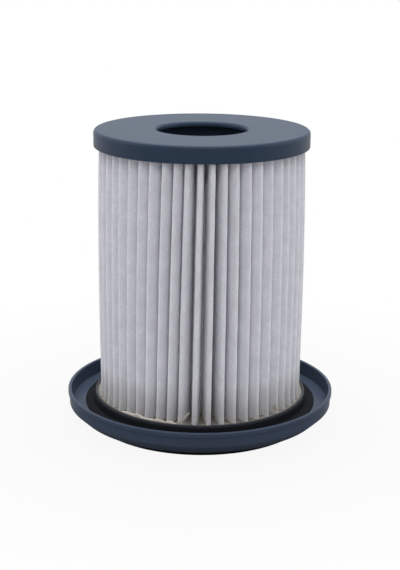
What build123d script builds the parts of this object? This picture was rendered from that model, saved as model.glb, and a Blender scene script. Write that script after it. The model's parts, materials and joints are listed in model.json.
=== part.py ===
from build123d import *
import math
import os

# Pleated cylinder filter for a vacuum cleaner, in millimetres.
# The vertical axis is the filter's own axis, and it stands on its outlet seal at height zero.
# Radii add up outwards from the hole in the cap, and heights add up from the floor,
# which gives a cap 94 across, a flange 120 across and a filter 131.8 tall.

# Radii, from the hole in the cap outwards
cap_hole_radius = 19.7
cap_hole_ledge = 5.7
collar_wall = 1.6
collar_clearance = 0.2
core_wall = 1.6
fold_clearance = 0.4
pleat_depth = 16.0
skirt_clearance = 0.4
skirt_wall = 1.4
cup_clearance = 1.3
cup_wall = 1.2
seal_clearance = 0.05
dish_seal_wall = 0.7
dish_seal_width = 4.4
dish_floor_width = 5.75
rim_lean = 0.6
rim_wall = 0.9
rim_bead = 0.6
spigot_wall = 1.5
spigot_seal_wall = 1.35

# Radii of the flange's heel, from the rim inwards
heel_width = 4.4
foot_width = 0.8
recess_slope_width = 2.8

# Heights, from the floor upwards
spigot_seal_sole = 1.2
spigot_length = 5.2
flange_plate = 1.6
lower_potting_height = 4.3
media_height = 114.1
upper_potting_height = 3.2
cap_plate = 2.2

# Heights above the cup's floor
cup_lip_height = 4.8
rim_height = 6.3
rim_bead_height = 2.0
dish_seal_sole = 0.5
dish_seal_height = 4.2

# Depth of the flange's foot below its plate, and height of the slope from the foot up to the rim
foot_depth = 2.6
heel_height = 4.2

# Lengths from the cap plate down and from the cup's floor up
collar_length = 6.0
skirt_depth = 5.2

# Rounded edges
cap_edge_round = 1.5
cap_hole_round = 1.4
rim_round = 0.5

# Glue fills its trough up to this gap from the round walls
glue_gap = 0.05

# Pleats: one folded strip, with a fold facing the front
pleat_count = 52
media_thickness = 0.65
fold_inside_radius = 0.3
front_fold_angle = -90.5

# Windows of the core's cage
window_columns = 8
window_rows = 4
core_rib = 5.0
core_band = 4.0
core_end_band = 6.0

# Radii that follow
collar_inside = cap_hole_radius + cap_hole_ledge
collar_outside = collar_inside + collar_wall
core_inside = collar_outside + collar_clearance
core_outside = core_inside + core_wall
pleat_inside = core_outside + fold_clearance
pleat_outside = pleat_inside + pleat_depth
skirt_inside = pleat_outside + skirt_clearance
cap_radius = skirt_inside + skirt_wall
cup_inside = pleat_outside + cup_clearance
cup_outside = cup_inside + cup_wall
dish_seal_inside = cup_outside + seal_clearance
dish_seal_outside = dish_seal_inside + dish_seal_width
rim_inside = dish_seal_outside + dish_floor_width
rim_mouth = rim_inside + rim_lean
rim_outside = rim_mouth + rim_wall
flange_radius = rim_outside + rim_bead
heel_radius = rim_outside - heel_width
foot_inside = heel_radius - foot_width
recess_radius = foot_inside - recess_slope_width
spigot_outside = cup_outside
spigot_inside = spigot_outside - spigot_wall
spigot_seal_inside = spigot_outside + seal_clearance
spigot_seal_outside = spigot_seal_inside + spigot_seal_wall

# Heights that follow
spigot_end = spigot_seal_sole
flange_underside = spigot_end + spigot_length
cup_floor = flange_underside + flange_plate
flange_foot = flange_underside - foot_depth
media_foot = cup_floor + lower_potting_height
media_head = media_foot + media_height
plate_underside = media_head + upper_potting_height
cap_top = plate_underside + cap_plate
rim_top = cup_floor + rim_height
cup_lip_top = cup_floor + cup_lip_height


def turned(*corners):
    """Solid of revolution about the filter's axis, from corners given as (radius, height, round)."""
    points = [(radius, height) for radius, height, _ in corners]
    rounds = [corner_round for _, _, corner_round in corners]
    outline = FilletPolyline(*points, radius=rounds, close=True)
    return revolve(Plane.XZ * make_face(outline), Axis.Z)


def plain_ring(inside, outside, bottom, top):
    """Ring of rectangular section about the filter's axis."""
    return turned((inside, bottom, 0), (outside, bottom, 0), (outside, top, 0), (inside, top, 0))


def make_top_cap():
    """Plate with a hole, a skirt round the pleats and a collar inside the core."""
    skirt_end = plate_underside - skirt_depth
    collar_end = plate_underside - collar_length
    return turned(
        (cap_hole_radius, cap_top, cap_hole_round),
        (cap_radius, cap_top, cap_edge_round),
        (cap_radius, skirt_end, 0),
        (skirt_inside, skirt_end, 0),
        (skirt_inside, plate_underside, 0),
        (collar_outside, plate_underside, 0),
        (collar_outside, collar_end, 0),
        (collar_inside, collar_end, 0),
        (collar_inside, plate_underside, 0),
        (cap_hole_radius, plate_underside, 0),
    )


def make_base_flange():
    """One moulding: spigot, cup for the pleat feet, collar for the core, dish and beaded rim."""
    bead_underside = rim_top - rim_bead_height
    collar_end = cup_floor + collar_length
    return turned(
        (collar_inside, flange_underside, 0),
        (spigot_inside, flange_underside, 0),
        (spigot_inside, spigot_end, 0),
        (spigot_outside, spigot_end, 0),
        (spigot_outside, flange_underside, 0),
        (recess_radius, flange_underside, 0),
        (foot_inside, flange_foot, 0),
        (heel_radius, flange_foot, 0),
        (rim_outside, flange_foot + heel_height, 0),
        (rim_outside, bead_underside, 0),
        (flange_radius, bead_underside, 0),
        (flange_radius, rim_top, rim_round),
        (rim_mouth, rim_top, 0),
        (rim_inside, cup_floor, 0),
        (cup_outside, cup_floor, 0),
        (cup_outside, cup_lip_top, 0),
        (cup_inside, cup_lip_top, 0),
        (cup_inside, cup_floor, 0),
        (collar_outside, cup_floor, 0),
        (collar_outside, collar_end, 0),
        (collar_inside, collar_end, 0),
    )


def make_support_core():
    """Cage tube from the base to the cap, with rows of windows between ribs and bands."""
    tube = plain_ring(core_inside, core_outside, cup_floor, plate_underside)
    first_window = media_foot + core_end_band
    last_window = media_head - core_end_band
    row_pitch = (last_window - first_window + core_band) / window_rows
    window_height = row_pitch - core_band
    window_width = 2 * core_inside * math.sin(math.pi / window_columns) - core_rib
    windows = []
    for column in range(window_columns):
        for row in range(window_rows):
            middle = first_window + window_height / 2 + row * row_pitch
            place = Rot(0, 0, column * 360 / window_columns) * Pos(core_outside, 0, middle)
            windows.append(place * Box(core_inside, window_width, window_height))
    return tube - windows


def fold_centres(fold_radius):
    """Centres of the strip's folds in order round the axis, outer and inner ones by turns."""
    half_pitch = 180 / pleat_count
    centres = []
    for pleat in range(pleat_count):
        angle = front_fold_angle + 2 * pleat * half_pitch
        centres.append(Vector(pleat_outside - fold_radius, 0).rotate(Axis.Z, angle))
        centres.append(Vector(pleat_inside + fold_radius, 0).rotate(Axis.Z, angle + half_pitch))
    return centres


def folded_outline(centres, outer_fold_radius, inner_fold_radius):
    """One face of the strip in plan: a round bend or a narrow crease at each fold, and straight flanks."""
    arrivals = []
    departures = []
    directions = []
    for index, centre in enumerate(centres):
        following = centres[(index + 1) % len(centres)]
        leaves_outer_fold = index % 2 == 0
        side = 1 if leaves_outer_fold else -1
        first_radius = outer_fold_radius if leaves_outer_fold else inner_fold_radius
        second_radius = inner_fold_radius if leaves_outer_fold else outer_fold_radius
        span = following - centre
        swing = math.degrees(math.asin((first_radius + second_radius) / span.length))
        direction = span.normalized().rotate(Axis.Z, side * swing)
        across = direction.rotate(Axis.Z, 90) * side
        directions.append(direction)
        departures.append(centre - across * first_radius)
        arrivals.append(following + across * second_radius)
    outer_folds_are_round = outer_fold_radius > inner_fold_radius
    edges = []
    for index in range(len(centres)):
        is_outer_fold = index % 2 == 0
        if is_outer_fold == outer_folds_are_round:
            edges.append(TangentArc(arrivals[index - 1], departures[index], tangent=directions[index - 1]))
        else:
            edges.append(Line(arrivals[index - 1], departures[index]))
        edges.append(Line(departures[index], arrivals[index]))
    return Wire(edges)


def make_pleated_media():
    """Folded strip between the two rings of glue: its outer face less its inner face, in plan."""
    fold_outside_radius = fold_inside_radius + media_thickness
    centres = fold_centres(fold_outside_radius)
    outer_face = folded_outline(centres, fold_outside_radius, fold_inside_radius)
    inner_face = folded_outline(centres, fold_inside_radius, fold_outside_radius)
    strip = Face(outer_face, [inner_face])
    return Pos(0, 0, media_foot) * extrude(strip, media_height, dir=(0, 0, 1))


def make_dish_seal():
    """Flat ring on the floor of the dish, with an upstand against the cup."""
    upstand_outside = dish_seal_inside + dish_seal_wall
    return turned(
        (dish_seal_inside, cup_floor, 0),
        (dish_seal_outside, cup_floor, 0),
        (dish_seal_outside, cup_floor + dish_seal_sole, 0),
        (upstand_outside, cup_floor + dish_seal_sole, 0),
        (upstand_outside, cup_floor + dish_seal_height, 0),
        (dish_seal_inside, cup_floor + dish_seal_height, 0),
    )


def make_spigot_seal():
    """Sleeve round the spigot, turned in under its end."""
    return turned(
        (spigot_inside, 0, 0),
        (spigot_seal_outside, 0, 0),
        (spigot_seal_outside, flange_underside, 0),
        (spigot_seal_inside, flange_underside, 0),
        (spigot_seal_inside, spigot_seal_sole, 0),
        (spigot_inside, spigot_seal_sole, 0),
    )


glue_inside = core_outside + glue_gap
nodes = {
    "top_cap": make_top_cap(),
    "pleated_media": make_pleated_media(),
    "upper_potting": plain_ring(glue_inside, skirt_inside - glue_gap, media_head, plate_underside),
    "lower_potting": plain_ring(glue_inside, cup_inside - glue_gap, cup_floor, media_foot),
    "support_core": make_support_core(),
    "base_flange": make_base_flange(),
    "dish_seal": make_dish_seal(),
    "spigot_seal": make_spigot_seal(),
}

os.makedirs("parts", exist_ok=True)
for name, solid in nodes.items():
    export_step(solid, f"parts/{name}.step")
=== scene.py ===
import json
import logging
import math
from dataclasses import dataclass, field
from enum import Enum

import bpy
import numpy as np
from mathutils import Matrix, Vector


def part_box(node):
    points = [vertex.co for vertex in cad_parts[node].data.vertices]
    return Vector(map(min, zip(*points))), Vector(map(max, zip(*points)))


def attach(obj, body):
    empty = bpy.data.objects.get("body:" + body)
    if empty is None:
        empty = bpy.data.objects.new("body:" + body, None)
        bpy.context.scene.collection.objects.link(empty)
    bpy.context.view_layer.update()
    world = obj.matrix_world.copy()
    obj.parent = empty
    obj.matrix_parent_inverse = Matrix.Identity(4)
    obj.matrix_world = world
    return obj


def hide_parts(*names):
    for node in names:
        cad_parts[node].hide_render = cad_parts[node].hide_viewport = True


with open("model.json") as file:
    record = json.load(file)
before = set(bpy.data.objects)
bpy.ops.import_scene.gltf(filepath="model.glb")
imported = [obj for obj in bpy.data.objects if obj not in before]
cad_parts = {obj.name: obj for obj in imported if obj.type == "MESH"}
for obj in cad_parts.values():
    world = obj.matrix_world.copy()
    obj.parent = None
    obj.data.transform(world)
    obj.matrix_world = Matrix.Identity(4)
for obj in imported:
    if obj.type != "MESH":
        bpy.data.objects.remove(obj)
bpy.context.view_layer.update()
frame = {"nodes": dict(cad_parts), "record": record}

# Pleated cylinder filter of a vacuum cleaner. Sizes are in millimetres unless a name says otherwise.
# Angles round the filter are in degrees from its front, growing to the right of someone who faces it.
MM = 0.001
BODY = "root"
LOG = logging.getLogger("vacuum_filter")

# Numbers of the sockets that Blender's Mix node uses for colours
MIX_FIRST, MIX_SECOND, MIX_RESULT = 6, 7, 2

Colour = tuple[float, float, float, float]
Socket = bpy.types.NodeSocket
Tree = bpy.types.NodeTree


class Slot(Enum):
    """Material slots that the record names."""

    SLATE_PLASTIC = "slate_plastic"
    WHITE_NONWOVEN = "white_nonwoven"
    HOT_MELT = "hot_melt"
    BLACK_RUBBER = "black_rubber"


class Side(Enum):
    """Faces of the folded strip: the dusty one outside and the clean one inside."""

    DUSTY = 1
    CLEAN = -1


def linear(hex_colour: str) -> Colour:
    """Turns an sRGB hex colour to linear light, by the two-part curve of the sRGB standard.

    Args:
        hex_colour: A hash sign and six hex digits.

    Returns:
        Red, green, blue and a full alpha.
    """
    values = [int(hex_colour[place : place + 2], 16) / 255 for place in (1, 3, 5)]
    parts = [value / 12.92 if value <= 0.04045 else ((value + 0.055) / 1.055) ** 2.4 for value in values]
    return (parts[0], parts[1], parts[2], 1.0)


def per_metre(size: float) -> float:
    """Scale of a pattern whose features have the given size in millimetres."""
    return 1 / (size * MM)


def add_node(
    tree: Tree,
    kind: str,
    settings: dict[str | int, object] | None = None,
    links: dict[str | int, Socket] | None = None,
) -> bpy.types.Node:
    """Adds one shader node.

    Args:
        tree: Node tree that gets the node.
        kind: Blender's name for the node's type.
        settings: Values by property name, input name or input number.
        links: Sockets that feed the node, by input name or number.

    Returns:
        The new node.
    """
    node = tree.nodes.new(kind)
    for key, value in (settings or {}).items():
        if isinstance(key, int) or key in node.inputs:
            node.inputs[key].default_value = value
        else:
            setattr(node, key, value)
    for key, socket in (links or {}).items():
        tree.links.new(socket, node.inputs[key])
    return node


def blank_material(name: str) -> tuple[bpy.types.Material, Tree]:
    """Makes a material with an empty node tree.

    Args:
        name: The material's name.

    Returns:
        The material and its node tree.
    """
    material = bpy.data.materials.new(name)
    material.use_nodes = True
    material.node_tree.nodes.clear()
    return material, material.node_tree


def showing_rays(tree: Tree) -> tuple[Socket, Socket]:
    """Tells rays that show a surface from rays that only light with it.

    Args:
        tree: Node tree that gets the test.

    Returns:
        A socket that is 1 for rays from the camera or through glass, and one that is 1 for mirrored rays.
    """
    ray = add_node(tree, "ShaderNodeLightPath").outputs
    direct = {0: ray["Is Camera Ray"], 1: ray["Is Transmission Ray"]}
    seen = add_node(tree, "ShaderNodeMath", {"operation": "MAXIMUM"}, direct).outputs[0]
    return seen, ray["Is Glossy Ray"]


@dataclass(frozen=True)
class DustFilm:
    """Grey film of dust and glue on what stands up inside a radius, such as the cup's lip."""

    radius: float = 48.2
    bottom: float = 12.0
    fade: float = 0.4
    colour: str = "#3B3C3F"
    cover: float = 0.9

    def lay(self, tree: Tree, place: Socket, under: Socket) -> Socket:
        """Lays the film over a colour.

        Args:
            tree: Node tree of the material.
            place: Position on the object.
            under: Colour of the bare surface.

        Returns:
            The colour with the film on it.
        """
        axes = add_node(tree, "ShaderNodeSeparateXYZ", None, {0: place}).outputs
        plan = add_node(tree, "ShaderNodeCombineXYZ", None, {0: axes["X"], 1: axes["Y"]})
        radius = add_node(tree, "ShaderNodeVectorMath", {"operation": "LENGTH"}, {0: plan.outputs[0]})
        limit = {"operation": "LESS_THAN", 1: self.radius * MM}
        within = add_node(tree, "ShaderNodeMath", limit, {0: radius.outputs["Value"]})
        full = self.bottom + self.fade
        rise = {"From Min": self.bottom * MM, "From Max": full * MM, "To Max": self.cover}
        above = add_node(tree, "ShaderNodeMapRange", rise, {"Value": axes["Z"]})
        both = {0: within.outputs[0], 1: above.outputs[0]}
        share = add_node(tree, "ShaderNodeMath", {"operation": "MULTIPLY"}, both)
        tint = {"data_type": "RGBA", MIX_SECOND: linear(self.colour)}
        links = {0: share.outputs[0], MIX_FIRST: under}
        return add_node(tree, "ShaderNodeMix", tint, links).outputs[MIX_RESULT]


@dataclass(frozen=True)
class SparkErodedPolypropylene:
    """Slate-blue polypropylene, moulded in a spark-eroded tool.

    The eroded skin scatters light: the plastic looks matte and even, dark from the front, and pale where it
    is seen along the surface.
    """

    name: str = "spark_eroded_polypropylene"
    colour: str = "#29384B"
    pale_colour: str = "#2F3E52"
    ior: float = 1.49
    # The eroded pits trap part of the mirrored light, so its level is under the usual half
    mirror_level: float = 0.14
    smoothest: float = 0.38
    roughest: float = 0.48
    cloud: float = 7.0
    # The real grit is about 0.05 mm wide and is drawn coarser, so that it shows
    grit: float = 0.45
    grit_depth: float = 0.03
    grit_strength: float = 0.6
    film: DustFilm | None = None

    def make(self) -> bpy.types.Material:
        """Builds the material.

        Returns:
            The finished material.
        """
        material, tree = blank_material(self.name)
        place = add_node(tree, "ShaderNodeTexCoord").outputs["Object"]
        cloud = add_node(tree, "ShaderNodeTexNoise", {"Scale": per_metre(self.cloud)}, {"Vector": place})
        grit = add_node(tree, "ShaderNodeTexNoise", {"Scale": per_metre(self.grit)}, {"Vector": place})
        ends = {MIX_FIRST: linear(self.colour), MIX_SECOND: linear(self.pale_colour)}
        mix = add_node(tree, "ShaderNodeMix", {"data_type": "RGBA", **ends}, {0: cloud.outputs[0]})
        colour = mix.outputs[MIX_RESULT]
        if self.film:
            colour = self.film.lay(tree, place, colour)
        spread = {"To Min": self.smoothest, "To Max": self.roughest}
        roughness = add_node(tree, "ShaderNodeMapRange", spread, {"Value": grit.outputs[0]})
        relief = {"Strength": self.grit_strength, "Distance": self.grit_depth * MM}
        bump = add_node(tree, "ShaderNodeBump", relief, {"Height": grit.outputs[0]})
        inputs = {
            "Base Color": colour,
            "Roughness": roughness.outputs[0],
            "Normal": bump.outputs[0],
        }
        skin = {"IOR": self.ior, "Specular IOR Level": self.mirror_level}
        shader = add_node(tree, "ShaderNodeBsdfPrincipled", skin, inputs)
        add_node(tree, "ShaderNodeOutputMaterial", None, {"Surface": shader.outputs[0]})
        return material


@dataclass(frozen=True)
class Spot:
    """Small round mark on a surface, fading out at its edge."""

    centre: tuple[float, float, float]
    radius: float
    colour: str
    cover: float


@dataclass(frozen=True)
class PleatedNonwoven:
    """Off-white thermobonded polyester nonwoven, folded into pleats.

    A mat of fine fibres: no gloss, a soft cloudy grain and a little fuzz. It is greyer near the glue: partly
    dust and glue that have got into it, and partly painted shade low down inside the flange.
    """

    colour: str = "#F6F6FC"
    shaded_colour: str = "#E9E9EF"
    # Tint near the foot: real dust, together with painted shade low down inside the flange
    foot_dust_and_shade_colour: str = "#A9A59E"
    foot_height: float = 16.0
    roughness: float = 0.9
    diffuse_roughness: float = 0.6
    mirror_level: float = 0.1
    # Single fibres are about 0.02 mm thick: the grain drawn here is the clumps that they lie in
    clump: float = 0.9
    clump_depth: float = 0.1
    clump_strength: float = 0.5
    cloud: float = 6.0
    # Densities of the grain that show as fully shaded and as fully white
    grain_from: float = 0.12
    grain_to: float = 0.4
    marks: tuple[Spot, ...] = (
        Spot((32.7, -31.6, 14.4), 2.4, "#9A876B", 0.85),
        Spot((-29.06, -33.7, 120.8), 0.45, "#55524E", 0.9),
    )

    def make(self, foot: float) -> bpy.types.Material:
        """Builds the material.

        Args:
            foot: Height of the strip's lower edge.

        Returns:
            The finished material.
        """
        material, tree = blank_material("pleated_polyester_nonwoven")
        place = add_node(tree, "ShaderNodeTexCoord").outputs["Object"]
        height = add_node(tree, "ShaderNodeSeparateXYZ", None, {0: place}).outputs["Z"]
        cloud = add_node(tree, "ShaderNodeTexNoise", {"Scale": per_metre(self.cloud)}, {"Vector": place})
        clump = add_node(tree, "ShaderNodeTexNoise", {"Scale": per_metre(self.clump)}, {"Vector": place})
        product = {"operation": "MULTIPLY"}
        both = {0: cloud.outputs[0], 1: clump.outputs[0]}
        density = add_node(tree, "ShaderNodeMath", product, both)
        contrast = {"From Min": self.grain_from, "From Max": self.grain_to}
        grain = add_node(tree, "ShaderNodeMapRange", contrast, {"Value": density.outputs[0]})
        ends = {MIX_FIRST: linear(self.shaded_colour), MIX_SECOND: linear(self.colour)}
        mix = add_node(tree, "ShaderNodeMix", {"data_type": "RGBA", **ends}, {0: grain.outputs[0]})
        # Painted shade mixed with real dust: the strip darkens towards the glue, in the clumps' pattern
        reach = {"From Min": foot * MM, "From Max": (foot + self.foot_height) * MM}
        fade = {**reach, "To Min": 1.0, "To Max": 0.0}
        nearness = add_node(tree, "ShaderNodeMapRange", fade, {"Value": height})
        both = {0: nearness.outputs[0], 1: clump.outputs[0]}
        dust_and_shade_patches = add_node(tree, "ShaderNodeMath", product, both)
        tint = {"data_type": "RGBA", MIX_SECOND: linear(self.foot_dust_and_shade_colour)}
        links = {0: dust_and_shade_patches.outputs[0], MIX_FIRST: mix.outputs[MIX_RESULT]}
        mix = add_node(tree, "ShaderNodeMix", tint, links)
        for mark in self.marks:
            centre = {"operation": "DISTANCE", 1: Vector(mark.centre) * MM}
            distance = add_node(tree, "ShaderNodeVectorMath", centre, {0: place}).outputs["Value"]
            fade = {"From Max": mark.radius * MM, "To Min": mark.cover, "To Max": 0.0}
            cover = add_node(tree, "ShaderNodeMapRange", fade, {"Value": distance})
            tint = {"data_type": "RGBA", MIX_SECOND: linear(mark.colour)}
            links = {0: cover.outputs[0], MIX_FIRST: mix.outputs[MIX_RESULT]}
            mix = add_node(tree, "ShaderNodeMix", tint, links)
        relief = {"Strength": self.clump_strength, "Distance": self.clump_depth * MM}
        bump = add_node(tree, "ShaderNodeBump", relief, {"Height": clump.outputs[0]})
        matte = {
            "Roughness": self.roughness,
            "Specular IOR Level": self.mirror_level,
            "Diffuse Roughness": self.diffuse_roughness,
        }
        inputs = {"Base Color": mix.outputs[MIX_RESULT], "Normal": bump.outputs[0]}
        shader = add_node(tree, "ShaderNodeBsdfPrincipled", matte, inputs)
        add_node(tree, "ShaderNodeOutputMaterial", None, {"Surface": shader.outputs[0]})
        return material


@dataclass(frozen=True)
class HotMeltGlue:
    """Beige hot-melt glue, poured and left to set.

    Waxy and dull, with a lumpy skin. It is dark down in the trough, with dust and painted shade, and clean
    where it stands proud of it.
    """

    colour: str = "#D3CDC1"
    trough_dust_and_shade_colour: str = "#8A857D"
    # Heights above the poured level over which the painted shade and dust of the trough fade to the clean
    # colour
    proud_from: float = 0.25
    proud_to: float = 0.55
    # Part of the patches' pattern that holds dust, and how much of it
    dust_from: float = 0.4
    dust_to: float = 0.7
    dust_cover: float = 0.5
    ior: float = 1.48
    roughness: float = 0.5
    patch: float = 5.0
    lump: float = 1.4
    lump_depth: float = 0.15
    lump_strength: float = 0.5

    def make(self, level: float) -> bpy.types.Material:
        """Builds the material.

        Args:
            level: Height that the glue was poured to.

        Returns:
            The finished material.
        """
        material, tree = blank_material("hot_melt_glue")
        place = add_node(tree, "ShaderNodeTexCoord").outputs["Object"]
        height = add_node(tree, "ShaderNodeSeparateXYZ", None, {0: place}).outputs["Z"]
        patch = add_node(tree, "ShaderNodeTexNoise", {"Scale": per_metre(self.patch)}, {"Vector": place})
        lump = add_node(tree, "ShaderNodeTexNoise", {"Scale": per_metre(self.lump)}, {"Vector": place})
        # Painted shade with some dust: the glue is darker low in the trough between the pleats, and paler
        # where it stands proud
        rise = {"From Min": (level + self.proud_from) * MM, "From Max": (level + self.proud_to) * MM}
        proud = add_node(tree, "ShaderNodeMapRange", rise, {"Value": height})
        ends = {MIX_FIRST: linear(self.trough_dust_and_shade_colour), MIX_SECOND: linear(self.colour)}
        mix = add_node(tree, "ShaderNodeMix", {"data_type": "RGBA", **ends}, {0: proud.outputs[0]})
        contrast = {"From Min": self.dust_from, "From Max": self.dust_to, "To Max": self.dust_cover}
        dust = add_node(tree, "ShaderNodeMapRange", contrast, {"Value": patch.outputs[0]})
        tint = {"data_type": "RGBA", MIX_SECOND: linear(self.trough_dust_and_shade_colour)}
        links = {0: dust.outputs[0], MIX_FIRST: mix.outputs[MIX_RESULT]}
        mix = add_node(tree, "ShaderNodeMix", tint, links)
        relief = {"Strength": self.lump_strength, "Distance": self.lump_depth * MM}
        bump = add_node(tree, "ShaderNodeBump", relief, {"Height": lump.outputs[0]})
        waxy = {"IOR": self.ior, "Roughness": self.roughness}
        inputs = {"Base Color": mix.outputs[MIX_RESULT], "Normal": bump.outputs[0]}
        shader = add_node(tree, "ShaderNodeBsdfPrincipled", waxy, inputs)
        add_node(tree, "ShaderNodeOutputMaterial", None, {"Surface": shader.outputs[0]})
        return material


@dataclass(frozen=True)
class SoftRubber:
    """Black soft rubber straight from the mould.

    Near black and dull, with a faint grey bloom in patches and a fine grain.
    """

    colour: str = "#1D1F23"
    bloom_colour: str = "#25272B"
    ior: float = 1.52
    smoothest: float = 0.85
    roughest: float = 1.0
    mirror_level: float = 0.06
    bloom: float = 6.0
    grain: float = 0.8
    grain_depth: float = 0.02
    grain_strength: float = 0.4

    def make(self) -> bpy.types.Material:
        """Builds the material.

        Returns:
            The finished material.
        """
        material, tree = blank_material("moulded_soft_rubber")
        place = add_node(tree, "ShaderNodeTexCoord").outputs["Object"]
        bloom = add_node(tree, "ShaderNodeTexNoise", {"Scale": per_metre(self.bloom)}, {"Vector": place})
        grain = add_node(tree, "ShaderNodeTexNoise", {"Scale": per_metre(self.grain)}, {"Vector": place})
        ends = {MIX_FIRST: linear(self.colour), MIX_SECOND: linear(self.bloom_colour)}
        mix = add_node(tree, "ShaderNodeMix", {"data_type": "RGBA", **ends}, {0: bloom.outputs[0]})
        spread = {"To Min": self.smoothest, "To Max": self.roughest}
        roughness = add_node(tree, "ShaderNodeMapRange", spread, {"Value": grain.outputs[0]})
        relief = {"Strength": self.grain_strength, "Distance": self.grain_depth * MM}
        bump = add_node(tree, "ShaderNodeBump", relief, {"Height": grain.outputs[0]})
        inputs = {
            "Base Color": mix.outputs[MIX_RESULT],
            "Roughness": roughness.outputs[0],
            "Normal": bump.outputs[0],
        }
        skin = {"IOR": self.ior, "Specular IOR Level": self.mirror_level}
        shader = add_node(tree, "ShaderNodeBsdfPrincipled", skin, inputs)
        add_node(tree, "ShaderNodeOutputMaterial", None, {"Surface": shader.outputs[0]})
        return material


@dataclass(frozen=True)
class PaleFloor:
    """Sheet of matte white card.

    It shows as a white ground that keeps a soft shadow near the filter. What the filter mirrors of it is the
    bare card close by, with its shadow, and white farther off.
    """

    colour: str = "#9A9A9C"
    fibre_colour: str = "#A2A2A4"
    # Paper fibres are under 0.1 mm thick: the pattern drawn here is the clumps that they lie in
    fibre: float = 2.0
    # Share of pure white close to the filter, where the card is seen and where it is mirrored
    near_glow: float = 0.92
    mirrored_glow: float = 0.0
    shadow_reach: float = 70.0
    fade_reach: float = 200.0

    def make(self) -> bpy.types.Material:
        """Builds the material.

        Returns:
            The finished material.
        """
        material, tree = blank_material("matte_white_card")
        place = add_node(tree, "ShaderNodeTexCoord").outputs["Object"]
        length = add_node(tree, "ShaderNodeVectorMath", {"operation": "LENGTH"}, {0: place})
        distance = length.outputs["Value"]
        reach = {"From Min": self.shadow_reach * MM, "From Max": self.fade_reach * MM}
        shares = []
        for rays, near in zip(showing_rays(tree), (self.near_glow, self.mirrored_glow)):
            glow = add_node(tree, "ShaderNodeMapRange", {**reach, "To Min": near}, {"Value": distance})
            both = {0: rays, 1: glow.outputs[0]}
            shares.append(add_node(tree, "ShaderNodeMath", {"operation": "MULTIPLY"}, both).outputs[0])
        share = add_node(tree, "ShaderNodeMath", {"operation": "MAXIMUM"}, dict(enumerate(shares)))
        fibres = add_node(tree, "ShaderNodeTexNoise", {"Scale": per_metre(self.fibre)}, {"Vector": place})
        ends = {MIX_FIRST: linear(self.colour), MIX_SECOND: linear(self.fibre_colour)}
        mix = add_node(tree, "ShaderNodeMix", {"data_type": "RGBA", **ends}, {0: fibres.outputs[0]})
        card = add_node(tree, "ShaderNodeBsdfDiffuse", None, {"Color": mix.outputs[MIX_RESULT]})
        white = add_node(tree, "ShaderNodeEmission")
        layers = {0: share.outputs[0], 1: card.outputs[0], 2: white.outputs[0]}
        ground = add_node(tree, "ShaderNodeMixShader", None, layers)
        add_node(tree, "ShaderNodeOutputMaterial", None, {"Surface": ground.outputs[0]})
        return material


def link_mesh(name: str, mesh: bpy.types.Mesh, material: bpy.types.Material) -> bpy.types.Object:
    """Smooths a mesh, dresses it and links it to the scene.

    Args:
        name: The piece's name.
        mesh: Its mesh.
        material: What the piece is made of.

    Returns:
        The piece.
    """
    mesh.polygons.foreach_set("use_smooth", [True] * len(mesh.polygons))
    mesh.materials.clear()
    mesh.materials.append(material)
    piece = bpy.data.objects.new(name, mesh)
    bpy.context.scene.collection.objects.link(piece)
    return piece


def new_piece(
    name: str,
    vertices: np.ndarray,
    faces: np.ndarray,
    material: bpy.types.Material,
    normals: np.ndarray | None = None,
) -> bpy.types.Object:
    """Makes a smooth mesh object.

    Args:
        name: The piece's name.
        vertices: Points in millimetres, one row each.
        faces: Vertex numbers, four for each face.
        material: What the piece is made of.
        normals: Surface directions at the vertices, where they are known exactly.

    Returns:
        The piece, linked to the scene.
    """
    mesh = bpy.data.meshes.new(name)
    mesh.from_pydata((vertices * MM).tolist(), [], faces.tolist())
    piece = link_mesh(name, mesh, material)
    if normals is not None:
        mesh.normals_split_custom_set_from_vertices(normals.tolist())
    mesh.update()
    return piece


def seat(piece: bpy.types.Object, slot: Slot, node: str | None = None) -> bpy.types.Object:
    """Joins a piece to the filter's body and reports it.

    Args:
        piece: The new piece.
        slot: Material slot of the record that it belongs to.
        node: Node that it stands for, if it stands for one.

    Returns:
        The same piece.
    """
    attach(piece, BODY)
    if node:
        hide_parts(node)
    LOG.info("%s: %d faces, %s", piece.name, len(piece.data.polygons), slot.value)
    return piece


def grid_points(plan: np.ndarray, heights: np.ndarray) -> np.ndarray:
    """Points of a grid of vertices.

    Args:
        plan: Places of the vertices seen from above, as complex numbers.
        heights: Their heights, in a shape that spreads over the grid.

    Returns:
        One row for each vertex.
    """
    spread = np.broadcast_to(heights, plan.shape)
    return np.stack([plan.real, plan.imag, spread], axis=-1).reshape(-1, 3)


def ring_grid(rows: int, columns: int, first: int = 0, closed: bool = False) -> np.ndarray:
    """Faces of a grid of vertices whose rows run round a ring.

    Args:
        rows: Number of rows.
        columns: Number of vertices in each row.
        first: Number of the grid's first vertex.
        closed: Whether the last row is joined to the first one.

    Returns:
        Four vertex numbers for each face.
    """
    here = first + np.arange(rows * columns).reshape(rows, columns)
    beside = np.roll(here, -1, axis=1)
    faces = np.stack([here, beside, np.roll(beside, -1, axis=0), np.roll(here, -1, axis=0)], axis=-1)
    return faces[: rows if closed else rows - 1].reshape(-1, 4)


@dataclass(frozen=True)
class Corner:
    """Corner of a turned piece's section, with the round that breaks it."""

    radius: float
    height: float
    bend: float = 0.25


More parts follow.
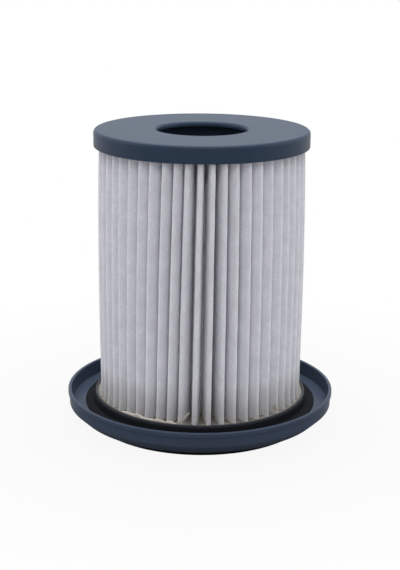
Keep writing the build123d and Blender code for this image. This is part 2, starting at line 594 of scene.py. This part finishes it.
@dataclass
class Turned:
    """Moulding of revolution: a closed section with rounded corners, turned about the filter's axis."""

    corners: list[Corner]
    segments: int = 256
    bend_steps: int = 5

    def section(self) -> tuple[np.ndarray, np.ndarray]:
        """Works out the section, as complex numbers of radius and height.

        Returns:
            The points in order and the outward directions there.
        """
        points: list[complex] = []
        normals: list[complex] = []
        places = [complex(corner.radius, corner.height) for corner in self.corners]
        for index, corner in enumerate(self.corners):
            here = places[index]
            arrival = here - places[index - 1]
            departure = places[(index + 1) % len(places)] - here
            arrival /= abs(arrival)
            turn = np.angle(departure / abs(departure) / arrival)
            start = here - arrival * corner.bend * math.tan(abs(turn) / 2)
            inward = 1j * math.copysign(1.0, turn)
            centre = start + inward * arrival * corner.bend
            for step in range(self.bend_steps + 1):
                heading = arrival * np.exp(1j * turn * step / self.bend_steps)
                points.append(centre - inward * heading * corner.bend)
                normals.append(-1j * heading)
        return np.array(points), np.array(normals)

    def build(self, name: str, material: bpy.types.Material) -> bpy.types.Object:
        """Turns the section into a mesh.

        Args:
            name: The piece's name.
            material: What the piece is made of.

        Returns:
            The piece.
        """
        points, normals = self.section()
        around = np.exp(2j * math.pi * np.arange(self.segments) / self.segments)
        vertices, directions = (
            grid_points(values.real[:, None] * around[None, :], values.imag[:, None])
            for values in (points, normals)
        )
        faces = ring_grid(len(points), self.segments, closed=True)
        return new_piece(name, vertices, faces, material, directions)


@dataclass
class TopCap:
    """Cap with a hole, a skirt round the pleats and a collar inside the core."""

    plate: float = 2.2
    skirt_depth: float = 5.2
    skirt_wall: float = 1.4
    collar_inside: float = 25.4
    collar_wall: float = 1.6
    edge_round: float = 1.5
    hole_round: float = 1.4
    foot_round: float = 0.4

    def build(self, material: bpy.types.Material) -> bpy.types.Object:
        """Builds and seats the cap.

        Args:
            material: The slate plastic.

        Returns:
            The cap.
        """
        low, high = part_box("top_cap")
        mounts = {mount["name"]: mount for mount in frame["record"]["mounts"]}
        hole = mounts["cap_hole"]["dims"]["r_mm"]
        edge = high.x / MM
        top = high.z / MM
        under = top - self.plate
        skirt_end = under - self.skirt_depth
        collar_end = low.z / MM
        collar_outside = self.collar_inside + self.collar_wall
        skirt_inside = edge - self.skirt_wall
        section = [
            Corner(hole, under),
            Corner(self.collar_inside, under),
            Corner(self.collar_inside, collar_end),
            Corner(collar_outside, collar_end),
            Corner(collar_outside, under),
            Corner(skirt_inside, under),
            Corner(skirt_inside, skirt_end),
            Corner(edge, skirt_end, self.foot_round),
            Corner(edge, top, self.edge_round),
            Corner(hole, top, self.hole_round),
        ]
        return seat(Turned(section).build("cap_moulding", material), Slot.SLATE_PLASTIC, "top_cap")


@dataclass
class BaseFlange:
    """One moulding: spigot, cup for the pleat feet, collar for the core, dish and beaded rim."""

    plate: float = 1.6
    collar_inside: float = 25.4
    collar_wall: float = 1.6
    collar_length: float = 6.0
    cup_outside: float = 47.7
    cup_wall: float = 1.2
    cup_lip_height: float = 4.8
    spigot_wall: float = 1.5
    spigot_length: float = 5.2
    rim_inside: float = 57.9
    rim_wall: float = 0.9
    bead_width: float = 0.6
    bead_height: float = 2.0
    bead_round: float = 0.5
    heel_width: float = 4.4
    heel_height: float = 4.2
    heel_round: float = 0.35
    foot_depth: float = 2.6
    foot_width: float = 0.8
    recess_slope_width: float = 2.8
    lip_round: float = 0.4

    def build(self, material: bpy.types.Material) -> bpy.types.Object:
        """Builds and seats the flange.

        Args:
            material: The slate plastic.

        Returns:
            The flange.
        """
        low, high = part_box("base_flange")
        bead, rim_top = high.x / MM, high.z / MM
        spigot_end = low.z / MM
        under = spigot_end + self.spigot_length
        cup_floor = under + self.plate
        flange_foot = under - self.foot_depth
        collar_end = cup_floor + self.collar_length
        bead_under = rim_top - self.bead_height
        lip_top = cup_floor + self.cup_lip_height
        rim_outside = bead - self.bead_width
        heel = rim_outside - self.heel_width
        foot_inside = heel - self.foot_width
        cup_inside = self.cup_outside - self.cup_wall
        spigot_inside = self.cup_outside - self.spigot_wall
        collar_outside = self.collar_inside + self.collar_wall
        section = [
            Corner(self.collar_inside, under),
            Corner(spigot_inside, under),
            Corner(spigot_inside, spigot_end),
            Corner(self.cup_outside, spigot_end),
            Corner(self.cup_outside, under),
            Corner(foot_inside - self.recess_slope_width, under),
            Corner(foot_inside, flange_foot),
            Corner(heel, flange_foot, self.heel_round),
            Corner(rim_outside, flange_foot + self.heel_height, self.heel_round),
            Corner(rim_outside, bead_under),
            Corner(bead, bead_under),
            Corner(bead, rim_top, self.bead_round),
            Corner(rim_outside - self.rim_wall, rim_top, self.lip_round),
            Corner(self.rim_inside, cup_floor),
            Corner(self.cup_outside, cup_floor),
            Corner(self.cup_outside, lip_top, self.lip_round),
            Corner(cup_inside, lip_top, self.lip_round),
            Corner(cup_inside, cup_floor),
            Corner(collar_outside, cup_floor),
            Corner(collar_outside, collar_end),
            Corner(self.collar_inside, collar_end),
        ]
        return seat(Turned(section).build("flange_moulding", material), Slot.SLATE_PLASTIC, "base_flange")


@dataclass
class Seals:
    """Two soft rings: one in the dish against the cup, and a sleeve round the spigot.

    The filter stands on the sleeve.
    """

    dish_ring_width: float = 4.4
    dish_ring_sole: float = 0.5
    dish_ring_wall: float = 0.7
    dish_ring_round: float = 0.3
    dish_ring_bend: float = 1.0
    seated_round: float = 0.1
    sleeve_wall: float = 1.35
    sleeve_sole: float = 1.2
    sole_inside: float = 46.2
    sole_round: float = 0.5

    def build_dish_ring(self, material: bpy.types.Material) -> bpy.types.Object:
        """Builds and seats the ring in the dish.

        Args:
            material: The rubber.

        Returns:
            The ring.
        """
        low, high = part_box("dish_seal")
        outside = high.x / MM
        inside = outside - self.dish_ring_width
        upstand = inside + self.dish_ring_wall
        bottom, top = low.z / MM, high.z / MM
        sole_top = bottom + self.dish_ring_sole
        section = [
            Corner(inside, bottom, self.seated_round),
            Corner(outside, bottom, self.seated_round),
            Corner(outside, sole_top, self.dish_ring_round),
            Corner(upstand, sole_top, self.dish_ring_bend),
            Corner(upstand, top, self.dish_ring_round),
            Corner(inside, top, self.dish_ring_round),
        ]
        return seat(Turned(section).build("dish_ring", material), Slot.BLACK_RUBBER, "dish_seal")

    def build_sleeve(self, material: bpy.types.Material) -> bpy.types.Object:
        """Builds and seats the sleeve round the spigot.

        Args:
            material: The rubber.

        Returns:
            The sleeve.
        """
        low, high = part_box("spigot_seal")
        outside = high.x / MM
        inside = outside - self.sleeve_wall
        bottom, top = low.z / MM, high.z / MM
        sole_top = bottom + self.sleeve_sole
        section = [
            Corner(self.sole_inside, bottom, self.sole_round),
            Corner(outside, bottom, self.sole_round),
            Corner(outside, top),
            Corner(inside, top),
            Corner(inside, sole_top),
            Corner(self.sole_inside, sole_top),
        ]
        return seat(Turned(section).build("spigot_sleeve", material), Slot.BLACK_RUBBER, "spigot_seal")


@dataclass
class PleatPack:
    """Strip of nonwoven folded into pleats and closed into a ring, as a hand-fed machine leaves it.

    The folds are not quite evenly spaced: in front they are drawn together, and their feet lean to the left.
    The pleats stand open in front and nearly touch each other at the sides.
    """

    pleats: int = 52
    depth: float = 16.0
    thickness: float = 0.65
    # Radius of the strip's middle in a fold
    bend: float = 0.625
    front_fold: float = -0.5
    sunk_in_glue: float = 0.8
    # Degrees by which the folds near the front are drawn together, and how far round that reaches
    gather: float = 0.9
    gather_reach: float = 50.0
    # Lean of the feet, largest at one angle and fading over others
    lean: float = 3.0
    lean_centre: float = -12.0
    lean_reach_left: float = 38.0
    lean_reach_right: float = 18.0
    # Scatter of the folds, in degrees, of the tips' radii, and the folds' slow wander up the strip
    spacing_scatter: float = 0.2
    depth_scatter: float = 0.12
    waviness: float = 0.06
    wave_lengths: tuple[float, ...] = (61.0, 37.0, 19.0)
    # The tips are drawn in close under the cap, stand out at mid-height and flare at the foot
    pinch: float = 0.4
    pinch_power: int = 8
    belly: float = 0.5
    foot_flare: float = 0.6
    flare_reach: float = 3.5
    # Bulge of the flanks in front and at the sides, its least share, how far it sits towards the tips, and
    # the degrees over which it grows
    bow: float = 0.3
    side_bow: float = 0.92
    least_bow: float = 0.8
    bow_lean: float = 0.72
    open_front: float = 8.0
    open_fade: float = 6.0
    # Fineness of the mesh
    flare_levels: int = 10
    levels: int = 26
    tip_steps: int = 7
    crease_steps: int = 4
    flank_steps: int = 6
    sharp_angle: float = 60.0
    seed: int = 7
    chance: np.random.Generator = field(init=False, repr=False)

    def __post_init__(self) -> None:
        """Starts the seeded chance that spreads the folds."""
        self.chance = np.random.default_rng(self.seed)

    def wander(self, heights: np.ndarray, folds: int) -> np.ndarray:
        """Slow sideways wander of each fold along its height.

        Args:
            heights: Heights of the levels.
            folds: Number of folds.

        Returns:
            Shares between about -1 and 1, one row for each level.
        """
        total = np.zeros((len(heights), folds))
        for length in self.wave_lengths:
            phase = self.chance.uniform(0, 2 * math.pi, folds)
            total += np.sin(2 * math.pi * heights[:, None] / length + phase[None, :])
        return total / len(self.wave_lengths)

    def fold_centres(self, heights: np.ndarray, outside: float) -> np.ndarray:
        """Centres of the bends at each level, in plan, as complex numbers.

        Args:
            heights: Heights of the levels.
            outside: Radius of the pleats' tips.

        Returns:
            One row for each level, with tips and creases by turns.
        """
        pitch = 360 / self.pleats
        rise = (heights - heights[0]) / (heights[-1] - heights[0])
        order = np.arange(self.pleats)
        angles = (self.front_fold + order * pitch + 180) % 360 - 180
        near = np.clip(angles / self.gather_reach, -1, 1)
        tips = angles - self.gather * np.sin(math.pi * near)
        tips += self.chance.normal(0, self.spacing_scatter, self.pleats)
        offset = angles - self.lean_centre
        reach = np.where(offset < 0, self.lean_reach_left, self.lean_reach_right)
        lean = self.lean * np.exp(-((offset / reach) ** 2))
        sideways = -lean[None, :] * (1 - rise[:, None])
        sideways += self.waviness * self.wander(heights, self.pleats)
        tip_angles = np.radians(tips[None, :]) + sideways / outside
        following = np.roll(tip_angles, -1, axis=1)
        gap = (following - tip_angles) % (2 * math.pi)
        crease_angles = tip_angles + gap / 2
        crease_angles += self.waviness * self.wander(heights, self.pleats) / outside
        outer_bend = self.bend + self.thickness / 2
        swell = self.belly * np.sin(math.pi * rise) - self.pinch * rise**self.pinch_power
        swell += self.foot_flare * np.exp(-(((heights - heights[0]) / self.flare_reach) ** 2))
        short = np.abs(self.chance.normal(0, self.depth_scatter, self.pleats))
        tip_radius = outside - outer_bend + swell[:, None] - short[None, :]
        crease_radius = np.full_like(tip_radius, outside - self.depth + outer_bend)
        radius = np.stack([tip_radius, crease_radius], axis=-1).reshape(len(heights), -1)
        angle = np.stack([tip_angles, crease_angles], axis=-1).reshape(len(heights), -1)
        return radius * np.exp(1j * (angle - math.pi / 2))

    def bows(self, centres: np.ndarray) -> np.ndarray:
        """How far each flank bulges: little in the open front, and more at the sides.

        Args:
            centres: Centres of the bends at one level.

        Returns:
            One bulge for each fold.
        """
        from_front = np.abs(np.degrees(np.angle(1j * centres)))
        closing = np.clip((from_front - self.open_front) / self.open_fade, 0, 1)
        bulge = self.bow + (self.side_bow - self.bow) * closing
        return bulge * self.chance.uniform(self.least_bow, 1.0, len(centres))

    def strip_path(self, centres: np.ndarray) -> tuple[np.ndarray, np.ndarray]:
        """Middle of the strip at each level: a bend at each fold and a slightly bowed flank after it.

        Args:
            centres: Centres of the bends.

        Returns:
            Points of the path and its headings there, one row for each level.
        """
        folds = centres.shape[1]
        side = np.where(np.arange(folds) % 2 == 0, 1.0, -1.0)[None, :]
        span = np.roll(centres, -1, axis=1) - centres
        swing = np.arcsin(2 * self.bend / np.abs(span))
        heading = span / np.abs(span) * np.exp(1j * side * swing)
        across = 1j * side * heading
        leave = centres - across * self.bend
        arrive = np.roll(centres, -1, axis=1) + across * self.bend
        before = np.roll(heading, 1, axis=1)
        turn = np.abs(np.angle(heading / before)) * side
        bows = self.bows(centres[0])[None, :]
        columns: list[tuple[np.ndarray, np.ndarray]] = []
        for parity, steps in ((0, self.tip_steps), (1, self.crease_steps)):
            group = slice(parity, None, 2)
            for step in range(steps):
                ahead = before[:, group] * np.exp(1j * turn[:, group] * step / (steps - 1))
                outward = -1j * side[:, group] * ahead
                columns.append((centres[:, group] + outward * self.bend, ahead))
            for step in range(1, self.flank_steps + 1):
                share = step / (self.flank_steps + 1)
                from_tip = share if parity == 0 else 1 - share
                swell = math.sin(math.pi * from_tip**self.bow_lean)
                point = leave[:, group] * (1 - share) + arrive[:, group] * share
                point = point - 1j * heading[:, group] * bows[:, group] * swell
                columns.append((point, heading[:, group]))
        points = np.stack([column[0] for column in columns], axis=-1)
        headings = np.stack([column[1] for column in columns], axis=-1)
        return points.reshape(len(centres), -1), headings.reshape(len(centres), -1)

    def build(self, finish: PleatedNonwoven) -> bpy.types.Object:
        """Builds and seats the pleats.

        Args:
            finish: The nonwoven.

        Returns:
            The pleats.
        """
        low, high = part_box("pleated_media")
        foot, head = low.z / MM, high.z / MM
        flare_end = foot + 2 * self.flare_reach
        low_levels = np.linspace(foot - self.sunk_in_glue, flare_end, self.flare_levels)
        heights = np.concatenate([low_levels[:-1], np.linspace(flare_end, head, self.levels)])
        points, headings = self.strip_path(self.fold_centres(heights, high.x / MM))
        rows, columns = points.shape
        grids = []
        for side in Side:
            plan = points - 1j * headings * side.value * self.thickness / 2
            grids.append(grid_points(plan, heights[:, None]))
        inner = rows * columns
        top = (rows - 1) * columns
        dusty = ring_grid(rows, columns)
        clean = ring_grid(rows, columns, inner)[:, ::-1]
        ring = np.arange(columns)
        following = np.roll(ring, -1)
        foot_edge = np.stack([ring, inner + ring, inner + following, following], axis=-1)
        head_edge = np.stack([ring, following, inner + following, inner + ring], axis=-1) + top
        faces = np.concatenate([dusty, clean, foot_edge, head_edge])
        piece = new_piece("pleats", np.concatenate(grids), faces, finish.make(foot))
        piece.data.set_sharp_from_angle(angle=math.radians(self.sharp_angle))
        return seat(piece, Slot.WHITE_NONWOVEN, "pleated_media")


@dataclass
class GlueRing:
    """Glue poured into the base's cup, with a lumpy top and a bead pressed out at the front left."""

    inside: float = 28.85
    # Lumps: waves by chance, with this many round the ring and this much twist for each millimetre outwards
    lump: float = 0.2
    waves: int = 9
    wave_counts: tuple[int, int] = (8, 70)
    wave_twists: tuple[float, float] = (0.2, 1.5)
    # The bead runs between two angles, rises over a few degrees and follows one radius
    bead_height: float = 1.35
    bead_from: float = -50.0
    bead_to: float = -11.0
    bead_ramp: float = 6.0
    bead_middle: float = 45.9
    bead_width: float = 0.8
    # Fineness of the mesh, with its rings crowded towards the outside, where they show
    segments: int = 416
    rings: int = 24
    ring_crowding: float = 1.8
    sharp_angle: float = 50.0
    seed: int = 11

    def top_heights(self, radius: np.ndarray, angle: np.ndarray, level: float) -> np.ndarray:
        """Height of the glue's skin.

        Args:
            radius: Radii of the grid's points.
            angle: Angles of the grid's points, in degrees from the front.
            level: Height that the glue was poured to.

        Returns:
            Heights in the shape of the grid.
        """
        chance = np.random.default_rng(self.seed)
        lumps = np.zeros_like(radius)
        for _ in range(self.waves):
            count = chance.integers(*self.wave_counts)
            twist = chance.uniform(*self.wave_twists)
            phase = chance.uniform(0, 2 * math.pi)
            lumps += np.sin(np.radians(angle) * count + radius * twist + phase)
        lumps *= self.lump / math.sqrt(self.waves)
        rising = np.clip((angle - self.bead_from) / self.bead_ramp, 0, 1)
        falling = np.clip((self.bead_to - angle) / self.bead_ramp, 0, 1)
        ridge = np.exp(-(((radius - self.bead_middle) / self.bead_width) ** 2))
        return level + lumps + rising * falling * ridge * (self.bead_height + lumps)

    def build(self, material: bpy.types.Material) -> bpy.types.Object:
        """Builds and seats the glue.

        Args:
            material: The hot-melt.

        Returns:
            The glue.
        """
        low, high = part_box("lower_potting")
        outside = high.x / MM
        angles = np.linspace(-180, 180, self.segments, endpoint=False)
        inwards = np.linspace(0, 1, self.rings) ** self.ring_crowding
        radii = outside - (outside - self.inside) * inwards
        radius, angle = np.meshgrid(radii, angles, indexing="ij")
        heights = self.top_heights(radius, angle, high.z / MM)
        floor = np.full((1, self.segments), low.z / MM)
        radius = np.concatenate([radius[:1], radius, radius[-1:]])
        angle = np.concatenate([angle[:1], angle, angle[-1:]])
        heights = np.concatenate([floor, heights, floor])
        plan = radius * np.exp(1j * (np.radians(angle) - math.pi / 2))
        faces = ring_grid(len(plan), self.segments, closed=True)
        piece = new_piece("glue_ring", grid_points(plan, heights), faces, material)
        piece.data.set_sharp_from_angle(angle=math.radians(self.sharp_angle))
        return seat(piece, Slot.HOT_MELT, "lower_potting")


@dataclass
class GlueString:
    """Hair of glue drawn off the bead, which lies across the pleats' feet."""

    route: tuple[tuple[float, float, float], ...] = (
        (-9.9, -45.5, 13.2),
        (-8.6, -45.8, 13.9),
        (-7.3, -45.9, 14.9),
        (-5.9, -45.8, 16.4),
        (-4.4, -45.5, 17.95),
    )
    thickness: float = 0.48
    sides: int = 8

    def build(self, material: bpy.types.Material) -> bpy.types.Object:
        """Builds and seats the string.

        Args:
            material: The hot-melt.

        Returns:
            The string.
        """
        line = bpy.data.curves.new("glue_string", "CURVE")
        line.dimensions = "3D"
        line.bevel_depth = self.thickness / 2 * MM
        # Blender gives a round line four sides and two more for each step of this number
        line.bevel_resolution = (self.sides - 4) // 2
        line.use_fill_caps = True
        spline = line.splines.new("NURBS")
        spline.points.add(len(self.route) - 1)
        for point, place in zip(spline.points, self.route):
            point.co = (*(Vector(place) * MM), 1.0)
        spline.order_u = 3
        spline.use_endpoint_u = True
        drawn = bpy.data.objects.new("glue_string_line", line)
        mesh = bpy.data.meshes.new_from_object(drawn)
        bpy.data.objects.remove(drawn)
        return seat(link_mesh("glue_string", mesh, material), Slot.HOT_MELT)


@dataclass(frozen=True)
class Lamp:
    """Soft box: a square lamp that looks at the middle of the filter."""

    name: str
    place: tuple[float, float, float]
    width: float
    watts: float


@dataclass
class Studio:
    """White table and surroundings, soft boxes and the camera. Lengths are in metres."""

    # The camera is fitted to the ellipses of the cap, its hole, the rim and the cup's lip. Angles are in
    # degrees and the lens is in millimetres
    eye: tuple[float, float, float] = (-0.00034, -0.54566, 0.21555)
    look_down: float = 15.788
    roll: float = 0.453
    lens: float = 79.92
    target: tuple[float, float, float] = (0.0, 0.0, 0.066)
    lamps: tuple[Lamp, ...] = (
        Lamp("top_box", (0.0, 0.25, 1.1), 0.9, 11.5),
        Lamp("left_box", (-0.9, 0.0, 0.45), 0.6, 1.8),
        Lamp("right_box", (0.9, 0.0, 0.45), 0.6, 1.8),
        Lamp("front_box", (0.0, -0.95, 0.95), 0.5, 2.4),
    )
    surroundings: float = 0.48
    floor_width: float = 6.0

    def build_camera(self) -> bpy.types.Object:
        """Sets the camera where the photograph was taken from.

        Returns:
            The camera.
        """
        data = bpy.data.cameras.new("camera")
        data.lens = self.lens
        camera = bpy.data.objects.new("camera", data)
        tilt = Matrix.Rotation(math.radians(90 - self.look_down), 4, "X")
        roll = Matrix.Rotation(math.radians(self.roll), 4, "Z")
        camera.matrix_world = Matrix.Translation(self.eye) @ tilt @ roll
        bpy.context.scene.collection.objects.link(camera)
        bpy.context.scene.camera = camera
        return camera

    def build_lamps(self) -> None:
        """Hangs the soft boxes."""
        for lamp in self.lamps:
            data = bpy.data.lights.new(lamp.name, "AREA")
            data.size = lamp.width
            data.energy = lamp.watts
            box = bpy.data.objects.new(lamp.name, data)
            box.location = lamp.place
            aim = Vector(self.target) - Vector(lamp.place)
            box.rotation_euler = aim.to_track_quat("-Z", "Y").to_euler()
            box.visible_camera = False
            bpy.context.scene.collection.objects.link(box)

    def build_surroundings(self) -> None:
        """Makes the world white where it is seen or mirrored, and dim where it only lights."""
        world = bpy.data.worlds.new("white_surroundings")
        world.use_nodes = True
        tree = world.node_tree
        tree.nodes.clear()
        rays = dict(enumerate(showing_rays(tree)))
        shown = add_node(tree, "ShaderNodeMath", {"operation": "MAXIMUM"}, rays)
        levels = {"To Min": self.surroundings, "To Max": 1.0}
        strength = add_node(tree, "ShaderNodeMapRange", levels, {"Value": shown.outputs[0]})
        white = {"Color": (1.0, 1.0, 1.0, 1.0)}
        sky = add_node(tree, "ShaderNodeBackground", white, {"Strength": strength.outputs[0]})
        add_node(tree, "ShaderNodeOutputWorld", None, {"Surface": sky.outputs[0]})
        bpy.context.scene.world = world

    def build_floor(self) -> bpy.types.Object:
        """Lays the white card that the filter stands on.

        Returns:
            The floor.
        """
        half = self.floor_width / MM / 2
        signs = ((-1, -1), (1, -1), (1, 1), (-1, 1))
        corners = np.array([(across * half, along * half, 0.0) for across, along in signs])
        floor = new_piece("floor", corners, np.array([(0, 1, 2, 3)]), PaleFloor().make())
        return floor


def dress_node(node: str, material: bpy.types.Material) -> None:
    """Gives a carried-over node its finish.

    Args:
        node: The node's name.
        material: What it is made of.
    """
    mesh = frame["nodes"][node].data
    mesh.materials.clear()
    mesh.materials.append(material)
    LOG.info("%s: carried over, %s", node, material.name)


def main() -> None:
    """Builds the dressed filter and its studio."""
    logging.basicConfig(level=logging.INFO, format="%(name)s: %(message)s")
    slate = SparkErodedPolypropylene().make()
    glue = HotMeltGlue().make(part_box("lower_potting")[1].z / MM)
    rubber = SoftRubber().make()
    # The flange comes from a smoother tool than the cap: the floor of the dish mirrors the rim
    smooth_slate = SparkErodedPolypropylene(
        "smooth_polypropylene",
        "#3F4A5C",
        "#434E60",
        mirror_level=0.05,
        smoothest=0.2,
        roughest=0.26,
        grit_depth=0.003,
        film=DustFilm(),
    ).make()
    TopCap().build(slate)
    BaseFlange().build(smooth_slate)
    seals = Seals()
    seals.build_dish_ring(rubber)
    seals.build_sleeve(rubber)
    PleatPack().build(PleatedNonwoven())
    GlueRing().build(glue)
    GlueString().build(glue)
    dress_node("support_core", slate)
    dress_node("upper_potting", glue)
    studio = Studio()
    studio.build_camera()
    studio.build_lamps()
    studio.build_surroundings()
    studio.build_floor()
    bpy.context.scene.view_settings.view_transform = "Standard"


if __name__ == "__main__":
    main()
